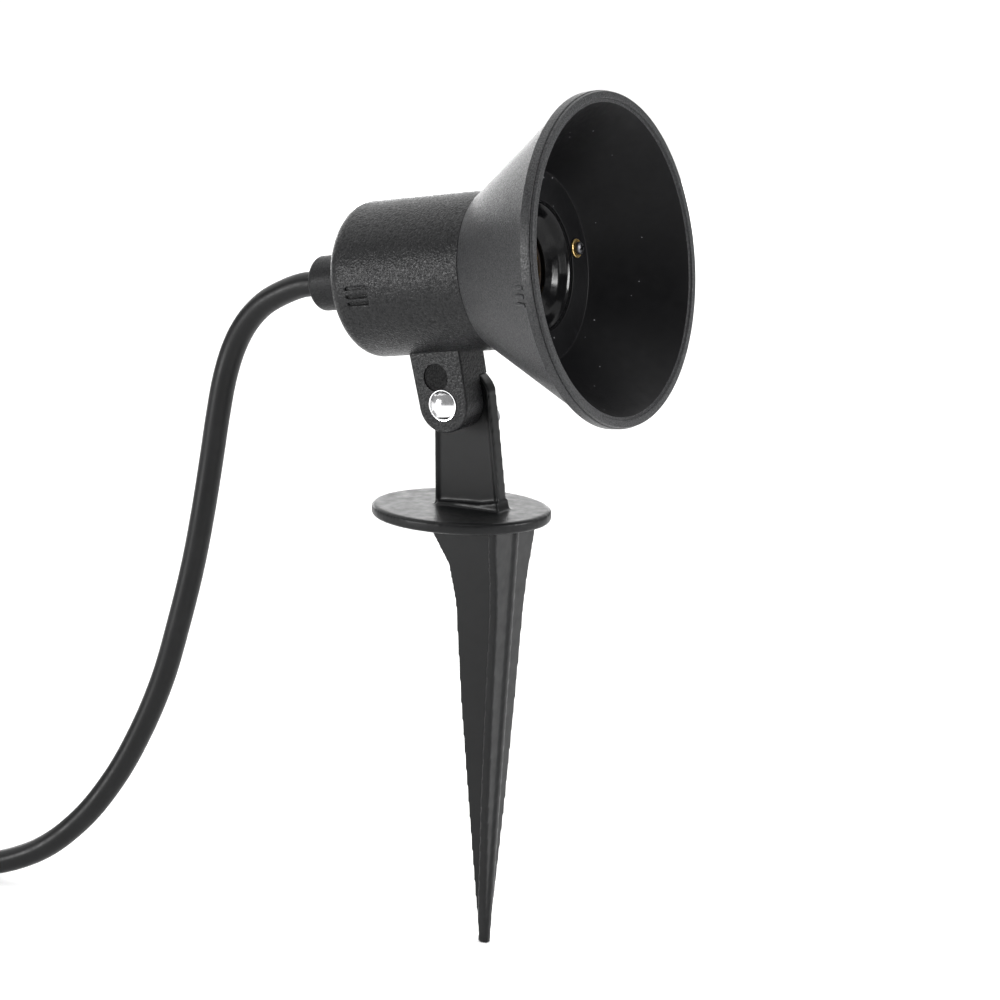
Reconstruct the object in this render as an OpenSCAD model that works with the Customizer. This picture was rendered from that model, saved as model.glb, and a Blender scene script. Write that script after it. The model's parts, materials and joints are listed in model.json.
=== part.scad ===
// Spotlight holder on a ground stake: a flared shade and screw-in lamp socket on a
// round rear housing, tilting on a carriage bolt above a moulded push-in stake.
// Origin: centre of the foot flange's underside. +X is where the beam points, +Z is up.

/* [Head] */
// Upward tilt of the beam at rest, degrees
head_tilt = 8.2; // [0:0.1:20]
// Height of the beam axis above the pivot
axis_h = 45.7; // [44.5:0.1:50]
// Outer radius of the rear housing
housing_r = 28; // [27.6:0.1:28.1]
// Length of the housing behind the head's middle
housing_back = 30.8; // [30:0.1:34]
// Wall of the rear housing
housing_wall = 3; // [2.8:0.1:3.2]
// Radius of the round edge at the housing's back
housing_edge = 6; // [4:0.5:8]

/* [Shade] */
// Distance from the head's middle to the shade's rear edge
seam_s = 24.8; // [24:0.1:26]
// Outer radius of the shade's rear edge
neck_r = 28.4; // [28.3:0.1:29]
// Outer radius of the rim
rim_r = 57.5; // [55:0.5:60]
// Distance from the head's middle to the rim's front face
rim_s = 71.8; // [70:0.1:74]
// Width of the rim's straight band
rim_band = 5; // [3:0.5:6]
// How far the rim's band stands out from the shade's cone
rim_step = 1.2; // [0.5:0.1:2]
// Inner radius of the mouth
mouth_r = 53.4; // [51:0.1:54]
// Radius of the flat inner web
web_r = 33.7; // [33:0.1:34.5]
// Distance from the head's middle to the web's front face
web_s = 40.8; // [40:0.1:42]
// Radius of the web's round opening
web_hole_r = 22.9; // [22.7:0.1:23.1]
// Distance of each shade screw from the beam axis
screw_r = 26.3; // [26.2:0.1:26.4]
// Turn of the pair of shade screws about the beam axis, degrees
screw_turn = 6.5; // [0:0.5:20]

/* [Socket] */
// Inner radius of the screw shell, for a medium screw base
shell_r = 13.1; // [13:0.05:13.2]
// Length of the screw shell's threaded part
shell_length = 17.4; // [16:0.2:18]
// Outer radius of the socket body
socket_r = 18.5; // [18:0.1:19]

/* [Gland and cord] */
// Outer radius of the gland nut
gland_r = 10.1; // [9.6:0.1:11]
// Length of the gland nut
gland_length = 19.9; // [18:0.1:22]
// Outer diameter of the mains cord
cord_d = 9.2; // [8.6:0.1:9.4]
// Radius of the stored coil's outer turns, to the middle of the cord
coil_r = 60; // [58:1:60]

/* [Pivot] */
// Distance of the pivot in front of the stake's centre
pivot_x = 1.3; // [0:0.1:3]
// Height of the pivot above the flange's underside
pivot_z = 43.5; // [42:0.1:47]
// Distance of the pivot behind the head's middle
pivot_back = 0.8; // [0:0.1:2]
// Diameter of the carriage bolt's shank
bolt_d = 4.8; // [4.6:0.1:5]
// Running clearance round the bolt, on the radius
bolt_play = 0.05; // [0.02:0.01:0.08]
// Sideways offset of the head's middle plane
head_y = -6; // [-6.5:0.1:-5.5]

/* [Stake] */
// Overall length of the foot flange
flange_length = 68.6; // [64:0.2:72]
// Overall width of the foot flange
flange_width = 54.2; // [50:0.2:58]
// Thickness of the foot flange
flange_t = 4.2; // [3.5:0.1:5]
// Depth of the spike below the flange
spike_length = 162.7; // [150:0.1:175]
// Thickness of the spike's stem
stem_t = 3; // [2.5:0.1:4]

/* [Hidden] */
$fn = 96;

far = 200;                      // longer than any cut needs
eps = 0.05;                     // gap between a screw's shank and its hole
ground_z = -spike_length;       // level that the spike's tip and the loose cord rest on
cord_r = cord_d / 2;

// head, along the beam from the foot of the pivot
spigot_r = 23.8;
spigot_end = 36.4;
cavity_r = housing_r - housing_wall;
spigot_bore = spigot_r - 2.4;
neck_bore = spigot_r + 0.1;
web_t = 3.2;
boss_r = 2.9;
boss_back = 12;
housing_screw_depth = 13;

// socket, along the beam
socket_back = 2;
socket_front = 32.6;
socket_floor = 8;
flange_back = 25;
shell_back = 12.6;
shell_wall = 0.5;

// gland, backwards along the beam
gland_front = -housing_back - 0.6;
gland_back = gland_front - gland_length;
gland_edge = 2.4;
stub_r = 7.8;
stub_length = 12;
stub_bore = 6.6;
core_front = -14;
seal_lip = 0.7;

// lug of the housing, seen across the beam
lug_out = -14.2;
lug_in = -3.2;
lug_root_in = 2.4;
lug_end_r = 10;
lug_top_back = -11.7;
lug_top_front = 9.4;

// upright ear of the stake
ear_near = -3;
ear_far = 2.6;
ear_top_r = 12.8;
ear_rim = 1.3;
ear_recess = 0.7;
pocket_r = ear_top_r + 0.4;     // round pocket in the lug's root, about the pivot

// pivot hardware, outwards from the ear
bolt_r = bolt_d / 2;
head_dome_r = 5.6;
head_dome_h = 2.7;
washer_y = ear_far + 0.1;
washer_t = 1;
lock_t = 1;
nut_y = washer_y + washer_t + lock_t + 0.05;
bolt_end_y = nut_y + 9;

// stored cord
coil_pitch = cord_d + 0.2;      // the turns wind in twice on the floor, then out again on top
coil_inner_r = coil_r - 2 * coil_pitch;
coil_x = -312;
coil_y = 0;
coil_h = coil_pitch + cord_d;
coil_foot_z = ground_z + cord_r;
plug_axis_z = ground_z + 13.4;
plug_x = -360;
plug_relief = 24;
plug_length = 34;

// Point of the beam's axis at distance s from the head's middle, in the part's own frame
function on_axis(s) = [
    pivot_x + (s + pivot_back) * cos(head_tilt) - axis_h * sin(head_tilt),
    head_y,
    pivot_z + (s + pivot_back) * sin(head_tilt) + axis_h * cos(head_tilt)
];

// Route of the cord from the gland down to the stored coil
cord_route = [
    on_axis(gland_back),
    on_axis(gland_back - 8),
    [-71.5, -6, 77.3],
    [-81, -6, 72.1],
    [-89, -6, 64.5],
    [-95, -6, 55],
    [-99, -7, 43],
    [-102, -8, 28],
    [-105, -9, 10],
    [-108, -11, -10],
    [-112, -13, -31],
    [-117, -16, -53],
    [-123, -19, -75],
    [-131, -23, -96],
    [-141, -28, -116],
    [-154, -34, -134],
    [-171, -40, -148],
    [-193, -47, -156],
    [-218, -53, coil_foot_z],
    [-248, -58, coil_foot_z],
    [-280, -60, coil_foot_z],
    [coil_x, coil_y - coil_r, coil_foot_z]
];

// Route from the coil's last turn to the plug
end_route = [
    [coil_x, coil_y - coil_r, coil_foot_z + coil_pitch],
    [-328, -60, coil_foot_z + coil_pitch],
    [-344, -60, plug_axis_z],
    [plug_x, -60, plug_axis_z]
];

// Routes of the three leads inside the housing, in the head's frame
live_route = [
    [-14, -2.2, 1], [-10, -2.8, 1], [-5.5, -4, 0.8],
    [-1.8, -6, 0.4], [0.2, -8, 0], [0.25, -9.95, 0]
];
neutral_route = [for (p = live_route) [p[0], -p[1], p[2]]];
earth_route = [
    [-14, 0, -2.4], [-12.5, 0, -5.4], [-13.2, 0, -9],
    [-16.2, 0, -11.4], [-19.4, 0, -13.2], [-19.7, 0, -16.2]
];
lead_r = 1.2;
earth_r = 17.5;
terminal_y = 11.2;
strap_t = 0.5;

// ---------- helpers ----------

// Moves its children from the head's frame (along the beam, sideways, up from the axis)
module in_head() {
    translate([pivot_x, head_y, pivot_z])
        rotate([0, -head_tilt, 0])
            translate([pivot_back, 0, axis_h])
                children();
}

// Moves its children from the pivot's own frame, which tilts with the head
module at_pivot() {
    in_head() translate([-pivot_back, -head_y, -axis_h]) children();
}

// Turns a solid made along +Z so that it points along the beam, starting at s
module along_beam(s = 0) {
    in_head() translate([s, 0, 0]) rotate([0, 90, 0]) children();
}

// Straight round bar or ring along the beam from s0 to s1
module beam_ring(s0, s1, outer, inner = 0) {
    along_beam(s0) difference() {
        cylinder(h = s1 - s0, r = outer);
        if (inner > 0) translate([0, 0, -1]) cylinder(h = s1 - s0 + 2, r = inner);
    }
}

// Bar of radius r along the beam from s0 to s1, off the axis by y and z
module beam_bar(s0, s1, r, y, z = 0) {
    in_head() translate([s0, y, z]) rotate([0, 90, 0]) cylinder(h = s1 - s0, r = r);
}

// Repeats its children on both sides of the head
module both_sides() {
    for (side = [-1, 1]) in_head() scale_side(side) children();
}
module scale_side(side) {
    if (side > 0) children();
    else mirror([0, 1, 0]) children();
}

// Places its children at both shade screws, s ahead of the head's middle, pointing along the beam
module at_shade_screws(s) {
    for (turn = [0, 180])
        in_head() rotate([screw_turn + turn, 0, 0]) translate([s, screw_r, 0]) rotate([0, 90, 0])
            children();
}

// Half profile of a round body whose back edge is rounded, radius along x, beam along y
module round_back_profile(r, back, front, edge) {
    translate([0, back + edge]) square([r, front - back - edge]);
    translate([0, back]) square([r - edge, edge + 1]);
    translate([r - edge, back + edge]) intersection() {
        circle(r = edge);
        translate([-edge / 2, -edge]) square([edge * 1.5, edge + 1]);
    }
}

// Bar along the part's Y axis through the pivot, from y0 to y1
module pivot_bar(y0, y1, r) {
    translate([pivot_x, y0, pivot_z]) rotate([-90, 0, 0]) cylinder(h = y1 - y0, r = r);
}

function unit(v) = v / norm(v);
function heading(route, i) = unit(route[i + 1] - route[i - 1]);
function round_ring(centre, ahead, r, sides, across) =
    let (side = unit(cross(ahead, across)), up = cross(side, ahead))
    [for (k = [0 : sides - 1]) centre + r * (cos(360 * k / sides) * side + sin(360 * k / sides) * up)];

// Round tube swept along a route, with flat ends that face along first and last.
// The route never runs along the direction across.
module tube(route, r, sides, first, last, across = [0, 1, 0]) {
    n = len(route);
    rings = [
        for (i = [0 : n - 1])
            let (ahead = i == 0 ? first : i == n - 1 ? last : heading(route, i))
            round_ring(route[i], ahead, r, sides, across)
    ];
    walls = [
        for (i = [0 : n - 2], k = [0 : sides - 1])
            let (next = (k + 1) % sides)
            [i * sides + k, i * sides + next, (i + 1) * sides + next, (i + 1) * sides + k]
    ];
    start_face = [for (k = [sides - 1 : -1 : 0]) k];
    end_face = [for (k = [0 : sides - 1]) (n - 1) * sides + k];
    polyhedron(points = [for (ring = rings) each ring], faces = concat(walls, [start_face, end_face]));
}

// ---------- stake ----------

// Side outline of the upright ear, drawn in X and Z, pulled in by inset
module ear_outline(inset = 0) {
    intersection() {
        polygon([
            [-9.4 + inset, 3 + inset],
            [17.8 - inset, 3 + inset],
            [17.4 - inset, 10],
            [14.8 - inset, 35],
            [13.4 - inset, pivot_z + 3],
            [13.4 - inset, pivot_z + ear_top_r],
            [-9.4 + inset, pivot_z + ear_top_r]
        ]);
        union() {
            translate([pivot_x, pivot_z]) circle(r = ear_top_r - inset);
            translate([-20, -20]) square([60, pivot_z + 20]);
        }
    }
}

// Solid made from an outline in X and Z, thick from y0 to y1
module upright_plate(y0, y1) {
    translate([0, y1, 0]) rotate([90, 0, 0]) linear_extrude(height = y1 - y0) children();
}

module stake_ear() {
    difference() {
        upright_plate(ear_near, ear_far) ear_outline();
        for (face = [[ear_near - 1, ear_near + ear_recess], [ear_far - ear_recess, ear_far + 1]])
            difference() {
                upright_plate(face[0], face[1]) ear_outline(ear_rim);
                pivot_bar(face[0] - 1, face[1] + 1, 7);
            }
        pivot_bar(-far, far, bolt_r + bolt_play);
    }
}

// Footprint of the flange, pulled in by inset: an ellipse of short straight sides
module flange_oval(inset = 0) {
    sides = 96;
    polygon([
        for (k = [0 : sides - 1])
            let (angle = 360 * k / sides)
            [(flange_length / 2 - inset) * cos(angle), (flange_width / 2 - inset) * sin(angle)]
    ]);
}

// Foot flange: an oval plate whose edge steps in at the top and bottom
module stake_flange() {
    ease = 0.7;
    linear_extrude(height = flange_t) flange_oval(ease);
    translate([0, 0, ease]) linear_extrude(height = flange_t - 2 * ease) flange_oval();
}

// Side outline of the spike's broad front plate, between its front face and its back.
// The back starts straight down, so that a flat plate with the spike's hole fits under the flange.
module spike_plate_side(front, back) {
    lean = 0.0775;              // how far the front face leans back per millimetre down
    top_x = 23.3;
    tip_x = top_x - lean * spike_length;
    polygon([
        [top_x + front, 1], [top_x - back, 1], [top_x - back, -3],
        [tip_x - back, ground_z], [tip_x + front, ground_z]
    ]);
}

// Front outline of the spike, drawn in Y and Z
module spike_front() {
    half = [
        [14.6, 1], [14.4, -5], [13.4, -11], [11.4, -20], [9.9, -33],
        [8.5, -69], [6.5, -107], [3.3, -146], [1, ground_z]
    ];
    other_half = [for (i = [len(half) - 1 : -1 : 0]) [-half[i][0], half[i][1]]];
    polygon(concat(half, other_half));
}

module spike_plate(front, back, half_width = far) {
    intersection() {
        upright_plate(-20, 20) spike_plate_side(front, back);
        translate([40, 0, 0]) rotate([90, 0, -90]) linear_extrude(height = 60) spike_front();
        translate([-far, -half_width, ground_z]) cube([2 * far, 2 * half_width, far]);
    }
}

module spike_stem() {
    upright_plate(-stem_t / 2, stem_t / 2)
        polygon([
            [-14.5, 1], [-13.2, -4], [-9.6, -10], [-4.6, -18], [-1.6, -32],
            [0.4, -69], [3.4, -107], [6.6, -146], [8.4, ground_z],
            [10.2, ground_z], [21, 1]
        ]);
}

// Low triangular rib where the ear stands on the flange
module ear_foot() {
    upright_plate(ear_near - 1.2, ear_far + 1.2)
        polygon([[-8, 3], [18.2, 3], [17.8, 8], [10, 6.4], [0, 6], [-8, 5.4]]);
}

module stake() {
    color("#1c1d1e") {
        stake_ear();
        ear_foot();
        stake_flange();
        spike_plate(0, 3.4);
        spike_plate(0.8, 2, 1.2);
        spike_stem();
    }
}

// ---------- rear housing ----------

// Side outline of the lug about the pivot: a round end and a leaning root
module lug_outline() {
    root = axis_h - housing_r + 2;      // inside the housing's wall
    circle(r = lug_end_r);
    polygon([
        [-lug_end_r, 0], [lug_end_r, 0],
        [lug_top_front, root], [lug_top_front, root + 1],
        [lug_top_back, root + 1], [lug_top_back, root]
    ]);
}

// Lug with a half lap: its root has a round pocket, where the stake's ear turns
module housing_lug() {
    at_pivot() difference() {
        translate([0, lug_root_in, 0])
            rotate([90, 0, 0])
                linear_extrude(height = lug_root_in - lug_out)
                    lug_outline();
        translate([0, lug_in, 0]) rotate([-90, 0, 0]) cylinder(h = 20, r = pocket_r);
        translate([-20, lug_in, -20]) cube([40, 20, 20]);
    }
}

// Square hole for the carriage bolt's neck, then a round one for its shank
module lug_holes() {
    pivot_bar(-far, far, bolt_r + eps);
    at_pivot()
        translate([0, lug_out + 1.5, 0])
            cube([bolt_d + 0.2, 3.4, bolt_d + 0.2], center = true);
}

module side_marks() {
    for (angle = [90.5, 96.6, 101.8])
        in_head()
            rotate([angle, 0, 0])
                translate([-18, 0, housing_r])
                    cube([8.8, 1.3, 1.4], center = true);
}

module rear_housing() {
    color("#2a2b2c") difference() {
        union() {
            along_beam() rotate_extrude()
                round_back_profile(housing_r, -housing_back, seam_s, housing_edge);
            beam_ring(seam_s - 1, spigot_end, spigot_r);
            beam_ring(-housing_back - stub_length, -housing_back + 1, stub_r);
            housing_lug();
        }
        difference() {
            union() {
                along_beam() rotate_extrude()
                    round_back_profile(
                        cavity_r, -housing_back + housing_wall, seam_s - 3, housing_edge - housing_wall
                    );
                beam_ring(seam_s - 4, spigot_end + 1, spigot_bore);
            }
            at_shade_screws(boss_back) cylinder(h = seam_s - boss_back, r = boss_r);
            for (angle = [0 : 90 : 270])
                in_head() rotate([angle + 45, 0, 0])
                    translate([0, -1.2, socket_r + 0.6]) cube([flange_back, 2.4, 10]);
            beam_bar(-housing_back, -21, 3, 0, -earth_r);
        }
        at_shade_screws(housing_screw_depth) cylinder(h = far, r = 1.35 + eps);
        beam_ring(-housing_back - stub_length - 1, 0, stub_bore);
        beam_bar(-28, -20, 1.2 + eps, 0, -earth_r);
        beam_ring(28, 30.2, spigot_r + 1, spigot_r - 1.3);
        lug_holes();
        side_marks();
    }
}

// ---------- shade and front ----------

module shade_profile() {
    difference() {
        polygon([
            [0, seam_s], [neck_r, seam_s],
            [rim_r - rim_step, rim_s - rim_band], [rim_r - 0.3, rim_s - rim_band],
            [rim_r, rim_s - rim_band + 0.3],
            [rim_r, rim_s - 0.6], [rim_r - 0.6, rim_s], [0, rim_s]
        ]);
        polygon([[0, web_s], [web_r, web_s], [mouth_r, rim_s], [mouth_r, rim_s + 1], [0, rim_s + 1]]);
        translate([-1, seam_s - 1]) square([neck_bore + 1, web_s - web_t - seam_s + 1]);
        square([web_hole_r, rim_s]);
    }
}

// Small raised bars behind the rim, in line with the housing's grooves
module shade_marks() {
    cone_r = rim_r - rim_step;
    lean = atan((cone_r - neck_r) / (rim_s - rim_band - seam_s));
    mark_s = 64;
    mark_r = neck_r + (mark_s - seam_s) * tan(lean);
    for (angle = [91.8, 94.8, 97.8])
        in_head()
            rotate([angle, 0, 0])
                translate([mark_s, 0, mark_r])
                    rotate([0, -lean, 0])
                        cube([6, 1.2, 1], center = true);
}

module front_shade() {
    color("#303132") difference() {
        union() {
            along_beam() rotate_extrude($fn = 180) shade_profile();
            shade_marks();
        }
        at_shade_screws(seam_s - 1) cylinder(h = 30, r = 1.45);
    }
}

module housing_seal() {
    color("#151515") beam_ring(28.1, 30.1, spigot_r + 0.05, spigot_r - 1.25);
}

// Dished rubber ring that seals against the lamp's neck
module lamp_gasket() {
    color("#0c0c0d") along_beam() rotate_extrude() {
        polygon([
            [spigot_r - 0.3, spigot_end], [spigot_r - 0.3, web_s - web_t],
            [web_hole_r - 0.2, web_s - web_t], [web_hole_r - 0.2, web_s - 0.6],
            [web_hole_r - 1, web_s], [web_hole_r - 1.8, web_s - 0.3],
            [19.4, 37.6], [17, 35.7], [15, 34.7], [14.4, 34.2],
            [14.5, 33], [15.4, socket_front], [17.8, socket_front], [19.6, 34.4],
            [20.6, spigot_end - 0.6], [21, spigot_end]
        ]);
    }
}

module shade_screws() {
    head_s = web_s + 0.8;
    color("#3c3c3e") at_shade_screws(0) difference() {
        union() {
            translate([0, 0, housing_screw_depth + 0.5])
                cylinder(h = head_s - housing_screw_depth, r = 1.35);
            translate([0, 0, head_s]) cylinder(h = 1.3, r = 2.6);
            translate([0, 0, head_s + 1.3]) cylinder(h = 0.6, r1 = 2.6, r2 = 1.6);
        }
        for (turn = [0, 90])
            translate([0, 0, head_s + 1.6]) rotate([0, 0, turn + 20]) cube([3, 0.6, 1.8], center = true);
    }
}

module screw_eyelets() {
    color("#b08d3c") at_shade_screws(web_s) difference() {
        cylinder(h = 0.8, r = 3.4);
        translate([0, 0, -1]) cylinder(h = 3, r = 1.5);
    }
}

// ---------- lamp socket ----------

module socket_body() {
    color("#26221f") difference() {
        union() {
            beam_ring(socket_back, socket_front, socket_r);
            beam_ring(flange_back + 0.05, flange_back + 2.6, spigot_bore - 0.3);
        }
        beam_ring(socket_floor, socket_front + 1, shell_r + shell_wall + 0.1);
        beam_bar(socket_back - 1, socket_floor + 1, 1.6, 0);
        both_sides() translate([socket_back - 1, terminal_y, 0]) rotate([0, 90, 0])
            cylinder(h = 6, r = 1.25);
        in_head() translate([socket_back - 1, 10.5, 3.4]) cube([8, 1, 2.2]);
    }
}

// Flat brass strap on the socket's back, with a clearance hole for its terminal screw
module terminal_strap(side, y0, y1) {
    difference() {
        in_head() scale_side(side) translate([socket_back - strap_t, y0, -3])
            cube([strap_t, y1 - y0, 9]);
        beam_bar(socket_back - 1, socket_back + 1, 1.25, side * terminal_y);
    }
}

// Screw shell: the threaded length in front of a slightly narrower chamber with a floor flange
module screw_shell() {
    floor_t = 0.6;
    color("#c29a4a") difference() {
        beam_ring(socket_floor, shell_back + shell_length, shell_r + shell_wall);
        beam_ring(shell_back, far, shell_r);
        beam_ring(socket_floor + floor_t, far, shell_r - 0.4);
        beam_ring(socket_floor - 1, far, shell_r - 2.6);
    }
    color("#c29a4a") {
        terminal_strap(1, 8, 14);
        in_head() translate([socket_back - strap_t, 10.6, 3.5]) cube([socket_floor + 0.5, 0.8, 2]);
    }
}

// Springy tongue in the socket's floor, riveted through it
module centre_contact() {
    color("#c9a557") {
        terminal_strap(-1, -2, 14);
        beam_bar(socket_back - 0.9, socket_floor + 0.6, 1.5, 0);
        in_head() translate([socket_floor + 0.5, -3, -7]) cube([0.6, 6, 10]);
        in_head() translate([socket_floor + 1.8, 0, -4.5]) rotate([0, 25, 0])
            cube([0.6, 6, 5], center = true);
        beam_bar(socket_floor + 1.1, socket_floor + 2.6, 2.4, 0);
    }
}

module terminal_screws() {
    color("#b9913f") both_sides() translate([0, terminal_y, 0]) rotate([0, 90, 0]) {
        translate([0, 0, -1.5]) cylinder(h = 7, r = 1.2);
        translate([0, 0, -2.4]) cylinder(h = 1.4, r = 3);
    }
}

module live_lead() {
    color("#1d1d1d") in_head() tube(live_route, lead_r, 8, [1, 0, 0], [0, -1, 0], [0, 0, 1]);
}

module neutral_lead() {
    color("#e6e6e2") in_head() tube(neutral_route, lead_r, 8, [1, 0, 0], [0, 1, 0], [0, 0, 1]);
}

module earth_lead() {
    color("#2f6b3a") in_head() tube(earth_route, lead_r, 8, [1, 0, 0], [0, 0, -1]);
}

module earth_screw() {
    color("#6f8f5a") {
        beam_bar(-27.5, -18.4, 1.2, 0, -earth_r);
        beam_bar(-18.4, -16.8, 2.8, 0, -earth_r);
    }
}

// ---------- gland and cord entry ----------

module gland_nut() {
    seal_seat = -housing_back - stub_length - 0.8;
    color("#262728") difference() {
        along_beam() rotate_extrude()
            round_back_profile(gland_r, gland_back, gland_front, gland_edge);
        beam_ring(seal_seat, 0, stub_r + 0.1);
        beam_ring(gland_back + 1.7, 0, stub_bore);
        beam_ring(gland_back - 1, 0, cord_r + 1.1);
    }
}

module gland_washer() {
    color("#8b8d8c") beam_ring(gland_front, -housing_back, gland_r - 0.5, stub_r + 0.1);
}

module cord_seal() {
    color("#161616") difference() {
        union() {
            beam_ring(gland_back + 1.8, -housing_back - 5, stub_bore - 0.1);
            beam_ring(gland_back - seal_lip, gland_back + 2, cord_r + 1);
        }
        beam_ring(gland_back - 2, 0, cord_r + 0.05);
    }
}

module cord_core() {
    color("#111112") beam_ring(gland_back, core_front, cord_r);
}

// Split clamp ring that stops the cord being pulled out through the gland
module cord_collar() {
    s0 = -housing_back + housing_wall + 0.4;
    color("#3b3b3a") difference() {
        union() {
            beam_ring(s0, s0 + 6, cord_r + 2.4);
            in_head() translate([s0, -3.4, cord_r]) cube([6, 6.8, 7]);
        }
        beam_ring(s0 - 1, s0 + 7, cord_r + 0.05);
        in_head() translate([s0 - 1, -0.6, 0]) cube([8, 1.2, 20]);
        in_head() translate([s0 + 3, -10, cord_r + 4.6]) rotate([-90, 0, 0]) cylinder(h = 20, r = 1.3);
    }
}

module collar_screw() {
    s0 = -housing_back + housing_wall + 0.4;
    color("#9c9c9a") in_head() translate([s0 + 3, 0, cord_r + 4.6]) rotate([-90, 0, 0]) {
        translate([0, 0, -4]) cylinder(h = 8, r = 1.25);
        translate([0, 0, -5.4]) cylinder(h = 1.9, r = 2.4);
    }
}

// ---------- pivot hardware ----------

module pivot_bolt() {
    dome_sphere = (pow(head_dome_r, 2) + pow(head_dome_h, 2)) / (2 * head_dome_h);
    color("#d8d9da") {
        intersection() {
            translate([pivot_x, lug_out - head_dome_h + dome_sphere, pivot_z]) sphere(r = dome_sphere);
            pivot_bar(lug_out - head_dome_h, lug_out, head_dome_r);
        }
        at_pivot() translate([0, lug_out + 1.45, 0]) cube([bolt_d, 3, bolt_d], center = true);
        pivot_bar(lug_out - 0.5, bolt_end_y, bolt_r);
    }
}

module pivot_washer() {
    color("#c4c6c7") difference() {
        pivot_bar(washer_y, washer_y + washer_t, 6.4);
        pivot_bar(-far, far, bolt_r + 0.2);
    }
}

module lock_washer() {
    y0 = washer_y + washer_t;
    color("#aeb0b1") difference() {
        pivot_bar(y0, y0 + lock_t, 4.4);
        pivot_bar(-far, far, bolt_r + 0.15);
        translate([pivot_x - 0.5, y0 - 1, pivot_z + 1]) cube([1, lock_t + 2, 8]);
    }
}

module wing_nut() {
    color("#c9cbcc") difference() {
        union() {
            translate([pivot_x, nut_y, pivot_z]) rotate([-90, 0, 0]) cylinder(h = 6, r1 = 5, r2 = 4);
            upright_wings();
        }
        pivot_bar(-far, far, bolt_r + bolt_play);
    }
}

// The nut's two wings: each a flat ear that leans outwards
module upright_wings() {
    wing_t = 1.8;
    wing_turn = 60;
    for (turn = [0, 180])
        translate([pivot_x, nut_y, pivot_z]) rotate([0, wing_turn + turn, 0])
            translate([0, 0, -wing_t / 2]) linear_extrude(height = wing_t) {
                polygon([[3.2, 0.8], [6, 2], [9.5, 5.4], [6.6, 10], [3.2, 5.8]]);
                translate([8.6, 8.2]) circle(r = 3.2);
            }
}

// ---------- cord ----------

module supply_cord() {
    color("#101011") tube(cord_route, cord_r, 12, -unit(on_axis(1) - on_axis(0)), [-1, 0, 0]);
}

module cord_coil() {
    color("#101011")
        translate([coil_x, coil_y, ground_z])
            rotate_extrude()
                translate([coil_inner_r - cord_r, 0]) square([coil_r - coil_inner_r + cord_d, coil_h]);
}

module cord_end() {
    color("#101011") tube(end_route, cord_r, 12, [-1, 0, 0], [-1, 0, 0]);
}

// Flat tie closed round the coil's far side
module coil_tie() {
    gap = 0.15;
    tie_t = 0.4;
    tie_w = 6;
    inner_y = coil_r - coil_inner_r + cord_d + 2 * gap;
    color("#2b2b2b") translate([coil_x, coil_y + coil_inner_r - cord_r - gap, ground_z]) difference() {
        translate([-tie_w / 2, -tie_t, 0]) cube([tie_w, inner_y + 2 * tie_t, coil_h + gap + tie_t]);
        translate([-tie_w, 0, -1]) cube([2 * tie_w, inner_y, coil_h + gap + 1]);
    }
}

// ---------- plug ----------

// Places its children at the cord's end, pointing along the plug
module at_plug(ahead = 0) {
    translate([plug_x - ahead, coil_y - coil_r, plug_axis_z]) rotate([0, -90, 0]) children();
}

module plug_body() {
    color("#121213") difference() {
        union() {
            at_plug() cylinder(h = plug_relief + 1, r1 = cord_r + 0.9, r2 = cord_r + 3);
            at_plug(plug_relief) intersection() {
                cylinder(h = plug_length, r = 15.4);
                translate([-13, -14, 0]) cube([26, 28, plug_length]);
            }
        }
        at_plug(-1) cylinder(h = 1, r = cord_r + 0.03);
        blade_bars();
        earth_pin_bar(eps);
    }
}

// The metal of the two flat blades, from inside the plug to their tips
module blade_bars() {
    for (side = [-1, 1])
        at_plug(plug_relief + plug_length)
            translate([-1.2, side * 6.35 - 0.75, -8]) cube([6.35, 1.5, 25.9]);
}

module earth_pin_bar(gap = 0) {
    at_plug(plug_relief + plug_length) translate([-7.6, 0, -8]) cylinder(h = 28.9, r = 2.4 + gap);
}

module plug_blades() {
    color("#c8b070") blade_bars();
}

module plug_earth_pin() {
    color("#c8b070") earth_pin_bar();
}

stake();
rear_housing();
front_shade();
housing_seal();
lamp_gasket();
shade_screws();
screw_eyelets();
socket_body();
screw_shell();
centre_contact();
terminal_screws();
live_lead();
neutral_lead();
earth_lead();
earth_screw();
gland_nut();
gland_washer();
cord_seal();
cord_core();
cord_collar();
collar_screw();
pivot_bolt();
pivot_washer();
lock_washer();
wing_nut();
supply_cord();
cord_coil();
cord_end();
coil_tie();
plug_body();
plug_blades();
plug_earth_pin();
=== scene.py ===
"""Looks of the spotlight holder on its ground stake: finer meshes, materials, cord, stage and camera."""

import json
import math

import bmesh
import bpy
from mathutils import Matrix, Vector


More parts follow.
